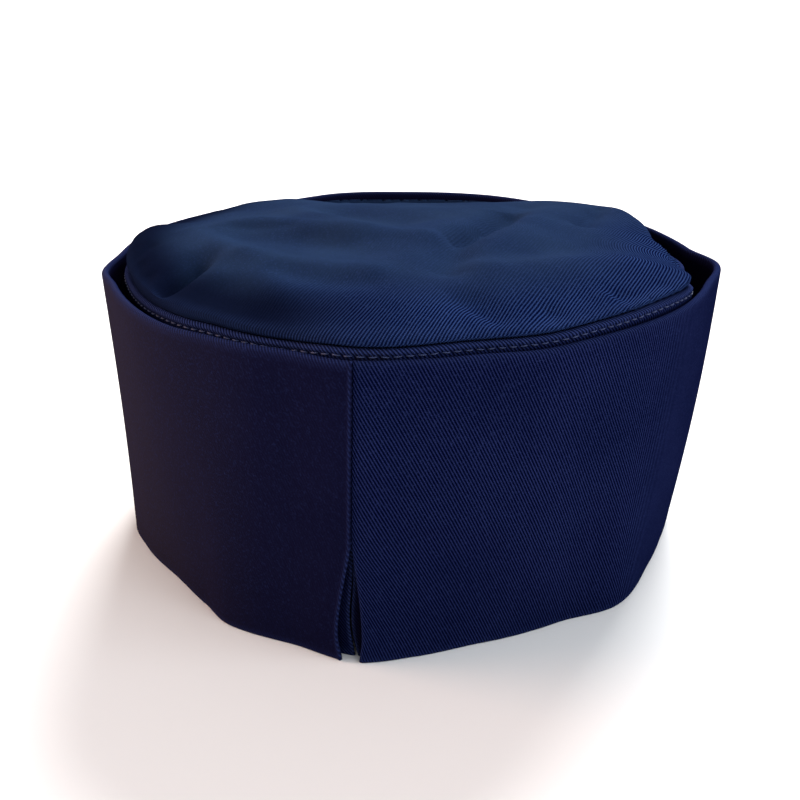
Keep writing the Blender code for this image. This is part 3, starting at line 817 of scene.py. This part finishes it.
# ---- Finishes ----
def group(name, inputs, outputs):
    """An empty node group with these float or vector inputs and outputs."""
    made = bpy.data.node_groups.new(name, "ShaderNodeTree")
    for label, kind, value in inputs:
        socket = made.interface.new_socket(label, in_out="INPUT", socket_type=kind)
        if value is not None:
            socket.default_value = value
    for label, kind in outputs:
        made.interface.new_socket(label, in_out="OUTPUT", socket_type=kind)
    return made, made.nodes.new("NodeGroupInput"), made.nodes.new("NodeGroupOutput")


def math_node(tree, operation, *values):
    """A Math node whose inputs are sockets or numbers; gives its output socket."""
    node = tree.nodes.new("ShaderNodeMath")
    node.operation = operation
    for socket, value in zip(node.inputs, values):
        if isinstance(value, (int, float)):
            socket.default_value = value
        else:
            tree.links.new(value, socket)
    return node.outputs[0]


def noise_node(tree, vector, scale, detail=2.0, roughness=0.5):
    """A Noise Texture of this many cells to the metre; gives its value, about 0.5."""
    node = tree.nodes.new("ShaderNodeTexNoise")
    node.inputs["Scale"].default_value = scale
    node.inputs["Detail"].default_value = detail
    node.inputs["Roughness"].default_value = roughness
    tree.links.new(vector, node.inputs["Vector"])
    return node.outputs["Fac"]


def twill_group():
    """Twill: ribs that cross the cloth at Angle, each a rope of short slanting yarns.

    The rib is a raised cosine across the ribs, a second cosine along them marks the yarns,
    and noise moves both a little. Height is the relief with a little fibre in it, and Rib is
    a mask: 1 on a rib's yarns and 0 between the ribs."""
    tree, given, out = group(
        "twill",
        [
            ("Flat", "NodeSocketVector", None),
            ("Angle", "NodeSocketFloat", 1.1),
            ("Pitch", "NodeSocketFloat", 0.00095),
            ("Yarn", "NodeSocketFloat", 0.00062),
            ("Waver", "NodeSocketFloat", 0.16),
        ],
        [("Height", "NodeSocketFloat"), ("Rib", "NodeSocketFloat")],
    )
    flat = given.outputs["Flat"]
    split = tree.nodes.new("ShaderNodeSeparateXYZ")
    tree.links.new(flat, split.inputs[0])
    cos = math_node(tree, "COSINE", given.outputs["Angle"])
    sin = math_node(tree, "SINE", given.outputs["Angle"])
    x, y = split.outputs[0], split.outputs[1]
    across = math_node(
        tree, "SUBTRACT", math_node(tree, "MULTIPLY", x, sin), math_node(tree, "MULTIPLY", y, cos)
    )
    along = math_node(
        tree, "ADD", math_node(tree, "MULTIPLY", x, cos), math_node(tree, "MULTIPLY", y, sin)
    )
    slow = math_node(tree, "SUBTRACT", noise_node(tree, flat, 160.0, 3.0), 0.5)
    fast = math_node(tree, "SUBTRACT", noise_node(tree, flat, 1400.0, 1.0), 0.5)
    sway = math_node(tree, "ADD", slow, math_node(tree, "MULTIPLY", fast, 0.6))
    sway = math_node(tree, "MULTIPLY", sway, given.outputs["Waver"])
    ribs = math_node(tree, "ADD", math_node(tree, "DIVIDE", across, given.outputs["Pitch"]), sway)
    turn = math_node(tree, "MULTIPLY", ribs, 2 * math.pi)
    rib = math_node(tree, "MULTIPLY_ADD", math_node(tree, "COSINE", turn), 0.5, 0.5)
    yarns = math_node(tree, "DIVIDE", along, given.outputs["Yarn"])
    yarns = math_node(tree, "ADD", yarns, math_node(tree, "MULTIPLY", ribs, 0.5))
    yarns = math_node(tree, "ADD", yarns, fast)
    yarn = math_node(tree, "COSINE", math_node(tree, "MULTIPLY", yarns, 2 * math.pi))
    yarn = math_node(tree, "MULTIPLY_ADD", yarn, 0.5, 0.5)
    fibre = noise_node(tree, flat, 5200.0, 2.0, 0.65)
    height = math_node(tree, "POWER", rib, 0.7)
    height = math_node(tree, "MULTIPLY", height, math_node(tree, "MULTIPLY_ADD", yarn, 0.30, 0.70))
    height = math_node(tree, "ADD", height, math_node(tree, "MULTIPLY", fibre, 0.18))
    bright = math_node(tree, "POWER", rib, 2.0)
    mask = math_node(tree, "MULTIPLY", bright, math_node(tree, "MULTIPLY_ADD", yarn, 0.45, 0.55))
    tree.links.new(height, out.inputs["Height"])
    tree.links.new(mask, out.inputs["Rib"])
    return tree


def dye_group():
    """Uneven dye and lint: noise in slow clouds and in fine flecks, both 0 to 1 about 0.5."""
    tree, given, out = group(
        "dye",
        [("Place", "NodeSocketVector", None)],
        [("Clouds", "NodeSocketFloat"), ("Flecks", "NodeSocketFloat")],
    )
    place = given.outputs["Place"]
    tree.links.new(noise_node(tree, place, 38.0, 4.0), out.inputs["Clouds"])
    tree.links.new(noise_node(tree, place, 1400.0, 3.0, 0.75), out.inputs["Flecks"])
    return tree


def mix_colour(tree, factor, low, high):
    """A Mix node from low to high by a factor, each a socket or a colour; gives its colour."""
    node = tree.nodes.new("ShaderNodeMix")
    node.data_type = "RGBA"
    tree.links.new(factor, node.inputs["Factor"])
    for socket, value in ((node.inputs[6], low), (node.inputs[7], high)):
        if isinstance(value, tuple):
            socket.default_value = (*value, 1)
        else:
            tree.links.new(value, socket)
    return node.outputs[2]


def mark_node(tree, name):
    """One of the mesh's marks, as a value."""
    node = tree.nodes.new("ShaderNodeAttribute")
    node.attribute_name = name
    return node.outputs["Fac"]


def matt_material(name, gloss):
    """A new material without metal and with this much gloss: it, its tree and its shader."""
    material = bpy.data.materials.new(name)
    material.use_nodes = True
    shader = material.node_tree.nodes["Principled BSDF"]
    shader.inputs["Metallic"].default_value = 0.0
    shader.inputs["Specular IOR Level"].default_value = gloss
    return material, material.node_tree, shader


# A cloth's look: gap and rib are the colours between and on the ribs, whose contrast is painted
# shade and highlight; shade is the colour of painted shade; the worn colour is that of lint, wear
# and painted highlight; the last three are the flat colour of blurred ribs, which is painted sheen
# on the crown and painted shade on the cuff, its strength, and the colour of painted warm light.
Look = namedtuple(
    "Look",
    "gap rib shade worn angle pitch relief dulling lint rough faded fading dust",
    defaults=(None, 0.0, None),
)
RIB_MEAN = 0.29            # the rib mask's mean, to which blurred ribs come down


def twill_cloth(name, groups, look):
    """Twill dyed one colour, with painted shade between its ribs and painted highlights on them.

    The rib mask is drawn in toward its mean where the ribs aren't crisp, and mixes the gap's
    and the rib's colours. Then come, each mixed in by its mask: a flat colour where the ribs
    are blurred, which is painted sheen on the crown and painted shade on the cuff, clouds of
    the gap's colour, painted warm light, lint, painted shade, and the worn colour on the ribs
    along the edges, which is wear and painted highlight."""
    material, tree, shader = matt_material(name, 0.0)
    uv = tree.nodes.new("ShaderNodeUVMap")
    uv.uv_map = "flat"
    place = tree.nodes.new("ShaderNodeTexCoord")
    twill = tree.nodes.new("ShaderNodeGroup")
    twill.node_tree = groups["twill"]
    twill.inputs["Angle"].default_value = math.radians(look.angle)
    twill.inputs["Pitch"].default_value = look.pitch
    tree.links.new(uv.outputs[0], twill.inputs["Flat"])
    dye = tree.nodes.new("ShaderNodeGroup")
    dye.node_tree = groups["dye"]
    tree.links.new(place.outputs["Object"], dye.inputs["Place"])
    worn, crisp_and_lit, dull = (mark_node(tree, mark) for mark in ("worn", "crisp_and_lit", "dull"))
    # The rib mask mixes painted shade between the ribs and painted highlights on them.
    rib = math_node(tree, "SUBTRACT", twill.outputs["Rib"], RIB_MEAN)
    rib = math_node(tree, "MULTIPLY_ADD", rib, crisp_and_lit, RIB_MEAN)
    colour = mix_colour(tree, rib, look.gap, look.rib)
    # Where the ribs are blurred, a flat colour: painted sheen on the crown, painted shade on the
    # cuff's left.
    if look.faded:
        blurred = math_node(tree, "MULTIPLY_ADD", crisp_and_lit, -look.fading, look.fading)
        colour = mix_colour(tree, blurred, colour, look.faded)
    clouds = math_node(tree, "MULTIPLY_ADD", dye.outputs["Clouds"], 1.6, -0.5)
    clouds = math_node(tree, "MULTIPLY", math_node(tree, "MAXIMUM", clouds, 0.0), 0.5)
    colour = mix_colour(tree, clouds, colour, look.gap)
    # Painted warm light, mixed in by its mark.
    if look.dust:
        colour = mix_colour(tree, mark_node(tree, "warm_lit"), colour, look.dust)
    lint = math_node(tree, "MULTIPLY_ADD", dye.outputs["Flecks"], 7.0, -3.6)
    lint = math_node(tree, "MULTIPLY", lint, look.lint)
    lint.node.use_clamp = True
    colour = mix_colour(tree, lint, colour, look.worn)
    # Painted shade, mixed in by its mark.
    colour = mix_colour(tree, math_node(tree, "MULTIPLY", dull, look.dulling), colour, look.shade)
    beads = math_node(tree, "MULTIPLY_ADD", twill.outputs["Rib"], 1.1, 0.12)
    # Wear and painted highlight: the worn colour on the ribs along the edges.
    rubbed_and_lit = math_node(tree, "MULTIPLY", worn, beads)
    rubbed_and_lit.node.use_clamp = True
    colour = mix_colour(tree, rubbed_and_lit, colour, look.worn)
    tree.links.new(colour, shader.inputs["Base Color"])
    rough = math_node(tree, "MULTIPLY_ADD", rib, -0.10, look.rough)
    tree.links.new(rough, shader.inputs["Roughness"])
    bump = tree.nodes.new("ShaderNodeBump")
    bump.inputs["Strength"].default_value = 1.0
    bump.inputs["Distance"].default_value = look.relief
    raised = math_node(tree, "MULTIPLY", twill.outputs["Height"], crisp_and_lit)
    tree.links.new(raised, bump.inputs["Height"])
    tree.links.new(bump.outputs[0], shader.inputs["Normal"])
    return material


def thread_finish(name, dark, light):
    """Twisted thread: a sine of the distance along and round it marks its slanting plies."""
    material, tree, shader = matt_material(name, 0.25)
    shader.inputs["Sheen Weight"].default_value = 0.05
    uv = tree.nodes.new("ShaderNodeUVMap")
    uv.uv_map = "flat"
    split = tree.nodes.new("ShaderNodeSeparateXYZ")
    tree.links.new(uv.outputs[0], split.inputs[0])
    slant = math_node(tree, "ADD", split.outputs[0], split.outputs[1])
    plies = math_node(tree, "SINE", math_node(tree, "MULTIPLY", slant, 2 * math.pi / PLY_LENGTH))
    plies = math_node(tree, "MULTIPLY_ADD", plies, 0.5, 0.5)
    tree.links.new(mix_colour(tree, plies, dark, light), shader.inputs["Base Color"])
    rough = math_node(tree, "MULTIPLY_ADD", plies, -0.15, 0.55)
    tree.links.new(rough, shader.inputs["Roughness"])
    bump = tree.nodes.new("ShaderNodeBump")
    bump.inputs["Distance"].default_value = 0.00005
    tree.links.new(plies, bump.inputs["Height"])
    tree.links.new(bump.outputs[0], shader.inputs["Normal"])
    return material


# ---- Studio ----
def make_floor():
    """A wide plain floor, pale and matt."""
    size = 12.0
    mesh = bpy.data.meshes.new("floor")
    mesh.from_pydata([(-size, -size, 0), (size, -size, 0), (size, size, 0), (-size, size, 0)],
                     [], [(0, 1, 2, 3)])
    material, _, shader = matt_material("floor_paint", 0.1)
    shader.inputs["Base Color"].default_value = (0.86, 0.86, 0.87, 1)
    shader.inputs["Roughness"].default_value = 0.9
    mesh.materials.append(material)
    floor = bpy.data.objects.new("floor", mesh)
    bpy.context.scene.collection.objects.link(floor)


def wide_sun(name, azimuth, elevation, power, width, colour):
    """Light from one side of the sky, as from a wide soft screen far away."""
    data = bpy.data.lights.new(name, "SUN")
    data.energy = power
    data.angle = math.radians(width)
    data.color = colour
    lamp = bpy.data.objects.new(name, data)
    a, e = math.radians(azimuth), math.radians(elevation)
    toward = Vector((math.cos(a) * math.cos(e), math.sin(a) * math.cos(e), math.sin(e)))
    lamp.rotation_mode = "QUATERNION"
    lamp.rotation_quaternion = toward.to_track_quat("Z", "Y")
    bpy.context.scene.collection.objects.link(lamp)


def make_studio():
    """A strong soft window high behind the cap, weaker cool light from the front right, low
    warm light from the left, and a pale room."""
    wide_sun("window", 76, 36, 6.6, 34, (1.0, 0.99, 0.97))
    wide_sun("fill", -32, 33, 1.9, 60, (0.90, 0.95, 1.0))
    wide_sun("warm_wall", 172, 10, 4.4, 40, (1.0, 0.62, 0.46))
    world = bpy.data.worlds.new("room")
    world.use_nodes = True
    world.node_tree.nodes["Background"].inputs[0].default_value = (1.0, 1.0, 1.0, 1)
    world.node_tree.nodes["Background"].inputs[1].default_value = 0.5
    bpy.context.scene.world = world
    bpy.context.scene.view_settings.view_transform = "Standard"


def make_camera():
    """The photograph's view: above the cap, looking down at its front."""
    data = bpy.data.cameras.new("camera")
    data.sensor_width = 36.0
    data.lens = 51.75
    data.clip_start, data.clip_end = 0.01, 50
    camera = bpy.data.objects.new("camera", data)
    camera.location = Vector((0, -0.3783, 0.2004)) + Vector(MOVED)
    camera.rotation_euler = (math.radians(90 - 22.71), 0, math.radians(0.294))
    bpy.context.scene.collection.objects.link(camera)
    bpy.context.scene.camera = camera


# ---- Making ----
# The cap's axis is moved so that the middle of its rim is that of the CAD's cuff.
low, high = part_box("cuff")
sampled = SEAM_ANGLE_TOP + 360 * np.arange(64) / 64
rim = at(sampled, cuff_outside(sampled, CUFF_HEIGHT - CUFF_CLOTH / 2), 0.0)
MOVED = np.array([(low[i] + high[i]) / 2 - (rim[:, i].min() + rim[:, i].max()) / 2 for i in (0, 1)])
MOVED = np.append(MOVED, 0.0)

groups = {"twill": twill_group(), "dye": dye_group()}
crown_finish = twill_cloth("crown_twill", groups, Look(
    gap=(0.0001, 0.0008, 0.0145), rib=(0.0265, 0.0560, 0.175), shade=(0.0012, 0.0014, 0.0070),
    # flat colour of painted sheen where the crown's ribs are blurred
    worn=(0.018, 0.034, 0.105), faded=(0.0120, 0.0240, 0.052), fading=0.9,
    angle=67, pitch=0.00094, relief=0.00030, dulling=0.85, lint=0.38, rough=0.85,
))
cuff_finish = twill_cloth("cuff_twill", groups, Look(
    gap=(0.0000, 0.0009, 0.0105), rib=(0.0185, 0.0260, 0.102), shade=(0.0026, 0.0017, 0.0088),
    # flat colour of painted shade where the cuff's ribs are blurred, on its left
    worn=(0.017, 0.026, 0.092), faded=(0.0016, 0.0013, 0.0100), fading=0.85,
    # colour of the warm light painted on the cuff's left panel
    dust=(0.0165, 0.0138, 0.0225),
    angle=116.5, pitch=0.00082, relief=0.00024, dulling=0.95, lint=0.30, rough=0.90,
))
side_finish = twill_cloth("side_band_twill", groups, Look(
    gap=(0.0000, 0.0007, 0.0090), rib=(0.0146, 0.0208, 0.091), shade=(0.0023, 0.0020, 0.0090),
    worn=(0.026, 0.040, 0.130),
    angle=128, pitch=0.00085, relief=0.00024, dulling=0.9, lint=0.12, rough=0.90,
))
thread = thread_finish("stitch_thread", (0.010, 0.018, 0.065), (0.042, 0.062, 0.17))

crown = make_crown(crown_finish)
side_band = make_side_band(side_finish)
cuff = make_cuff(cuff_finish)
stitches = make_stitches(thread)

for piece, node in ((crown, "crown"), (side_band, "side_band"), (cuff, "cuff")):
    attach(piece, "root")
    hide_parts(node)
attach(stitches, "root")

make_floor()
make_studio()
make_camera()
